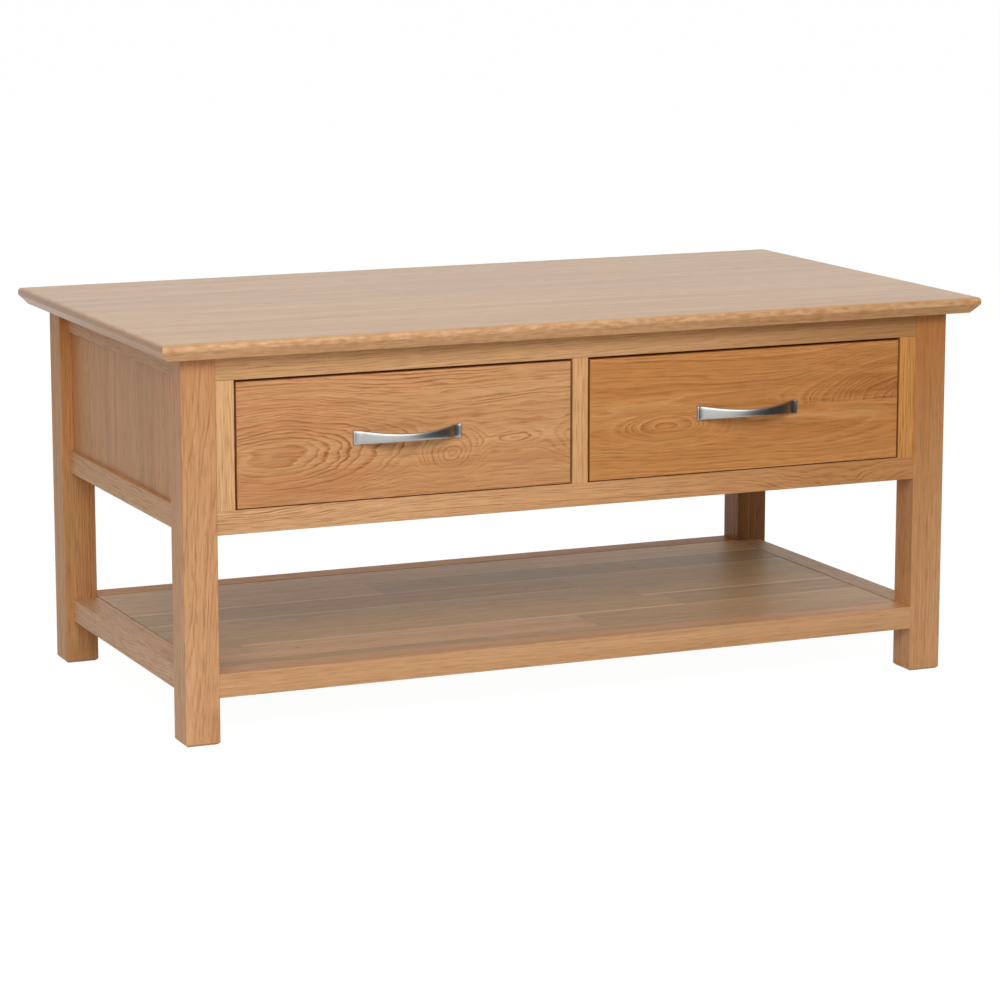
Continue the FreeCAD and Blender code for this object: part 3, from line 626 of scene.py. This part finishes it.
for side in ("left", "right"):
    handle = bowHandle(f"bow_handle_{side}", f"drawer_{side}_handle")
    handle.data.materials.append(plates["satin_nickel"])
    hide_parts(f"drawer_{side}_handle")
    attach(handle, f"drawer_{side}")
print("bow handles made")


def seenDirectly(tree):
    # 1 for what the camera sees, straight, mirrored or through glass, and 0 for what lights the object
    path = put(tree, "LightPath", {}, {})
    seen = path.outputs["Is Camera Ray"]
    for ray in ("Is Glossy Ray", "Is Transmission Ray"):
        seen = put(tree, "Math", {"operation": "MAXIMUM"}, {0: seen, 1: path.outputs[ray]}).outputs[0]
    return seen


white = (1, 1, 1, 1)
stage = {
    "half": 30.0,              # metres, half the floor's side
    "paper": "#E4E2DC",
    "glow": 0.86, "lit": 0.2,  # the share of plain white in what is seen, and the paper's own brightness
}
half = stage["half"]
floorCorners = [(-half, -half, 0), (half, -half, 0), (half, half, 0), (-half, half, 0)]
floorMesh = bpy.data.meshes.new("floor")
floorMesh.from_pydata(floorCorners, [], [(0, 1, 2, 3)])
floor = bpy.data.objects.new("floor", floorMesh)
bpy.context.scene.collection.objects.link(floor)
paper, paperTree = emptyTree("white_paper")  # matt paper that the camera sees nearly white, shadow kept
amount = put(paperTree, "Math", times, {0: seenDirectly(paperTree), 1: stage["glow"]})
matt = put(paperTree, "BsdfDiffuse", {}, {"Color": colour(stage["paper"])})
fillUp = (1 - (1 - stage["glow"]) * stage["lit"]) / stage["glow"]  # so that bare paper comes to white
glow = put(paperTree, "Emission", {}, {"Color": white, "Strength": fillUp})
mixed = put(paperTree, "MixShader", {}, {0: amount.outputs[0], 1: matt.outputs[0], 2: glow.outputs[0]})
put(paperTree, "OutputMaterial", {}, {"Surface": mixed.outputs[0]})
floorMesh.materials.append(paper)

# a grey sheet to the right, seen only in reflections: it paints dark reflections on the handles and the
# lacquer
flag = {
    "near": (0.75, -2.3), "far": (1.35, 0.6),     # metres, the line that it stands along
    "tall": 1.5, "apron": 0.75, "lift": 0.004,    # metres, its height, the part that lies, the gap below it
    "lieTo": 0.4, "standFrom": 0.3, "curl": 1.3,  # where across the sheet it stops lying and starts to stand
    "runSteps": 9, "bendSteps": 25,
    "reflectedGrey": "#484C4C",
}


def reflectionFlag():
    # a sheet that lies on the floor, bends up and stands, carried along a line from near to far
    run = np.linspace(0, 1, flag["runSteps"])[:, None]
    bend = np.linspace(0, 1, flag["bendSteps"])[None, :]
    lie = -flag["apron"] * (1 - np.clip(bend / flag["lieTo"], 0, 1))
    stand = flag["tall"] * np.clip((bend - flag["standFrom"]) / (1 - flag["standFrom"]), 0, 1) ** flag["curl"]
    (nearX, nearY), (farX, farY) = flag["near"], flag["far"]
    x = nearX + (farX - nearX) * run + lie
    y = nearY + (farY - nearY) * run + 0 * bend
    z = flag["lift"] + stand + 0 * run
    points = np.stack([x, y, z], axis=-1)
    index = np.arange(x.size).reshape(x.shape)
    quads = np.stack([index[:-1, :-1], index[1:, :-1], index[1:, 1:], index[:-1, 1:]], axis=-1).reshape(-1, 4)
    mesh = bpy.data.meshes.new("flag")
    mesh.from_pydata(points.reshape(-1, 3).tolist(), [], quads.tolist())
    sheet = bpy.data.objects.new("flag", mesh)
    bpy.context.scene.collection.objects.link(sheet)
    # seen by mirrored rays only, with no shadow and no bounce: it paints dark reflections and nothing else
    sheet.visible_camera = sheet.visible_diffuse = sheet.visible_shadow = sheet.visible_transmission = False
    return sheet


flagSheet = reflectionFlag()
reflectionCard, reflectionCardTree = emptyTree("dark_reflection_card")  # seen only in reflections, so metal and lacquer facing it go dark: a painted dark reflection
cardSurface = put(reflectionCardTree, "BsdfDiffuse", {}, {"Color": colour(flag["reflectedGrey"])})
put(reflectionCardTree, "OutputMaterial", {}, {"Surface": cardSurface.outputs[0]})
flagSheet.data.materials.append(reflectionCard)

studio = {"lit": 0.22, "seen": 1.0}  # the world's strength as light, and as seen
world = bpy.data.worlds.new("studio")
bpy.context.scene.world = world
world.use_nodes = True
world.node_tree.nodes.clear()
level = put(world.node_tree, "MapRange", {}, {
    "Value": seenDirectly(world.node_tree), "To Min": studio["lit"], "To Max": studio["seen"]})
sky = put(world.node_tree, "Background", {}, {"Color": white, "Strength": level.outputs[0]})
put(world.node_tree, "OutputWorld", {}, {"Surface": sky.outputs[0]})

lamps = {                      # metres and watts; the fill leaves no glare on the lacquer
    "key": {"place": (-1.5, -2.6, 1.85), "aim": (0, 0, 0.25), "size": (2.6, 1.6), "watts": 44.5},
    "front": {"place": (0.45, -3.2, 2.1), "aim": (0, 0, 0.3), "size": (1.1, 1.0), "watts": 22.5},
    "fillBehind": {"place": (1.7, 2.6, 0.75), "aim": (0, 0, 0.25), "size": (2.4, 1.0), "watts": 20.0},
    "overhead": {"place": (0, 0.4, 2.8), "aim": (0, 0, 0.3), "size": (2.6, 2.0), "watts": 5.5},
}
for name, panel in lamps.items():
    lamp = bpy.data.lights.new(name, "AREA")
    lamp.shape, lamp.energy = "RECTANGLE", panel["watts"]
    lamp.size, lamp.size_y = panel["size"]
    holder = bpy.data.objects.new(name, lamp)
    holder.location = panel["place"]
    holder.visible_glossy = not name.startswith("fill")
    x, y, z = np.array(panel["aim"]) - np.array(panel["place"])
    holder.rotation_euler = (math.atan2(math.hypot(x, y), -z), 0, math.atan2(y, x) - math.pi / 2)
    bpy.context.scene.collection.objects.link(holder)

view = {
    "place": (-1.69134, -3.85807, 0.98436),    # metres
    "azimuth": -23.759, "elevation": 10.555,   # degrees, the way it looks, and how far down
    "lens": 128.72, "sensor": 36.0,
    "reach": 200.0,                            # metres
}
camera = bpy.data.cameras.new("camera")
camera.lens, camera.sensor_width, camera.clip_end = view["lens"], view["sensor"], view["reach"]
eye = bpy.data.objects.new("camera", camera)
eye.location = view["place"]
eye.rotation_euler = (math.radians(90 - view["elevation"]), 0, math.radians(view["azimuth"]))
bpy.context.scene.collection.objects.link(eye)
bpy.context.scene.camera = eye
bpy.context.scene.view_settings.view_transform = "Standard"
print("stage, lamps and camera set")
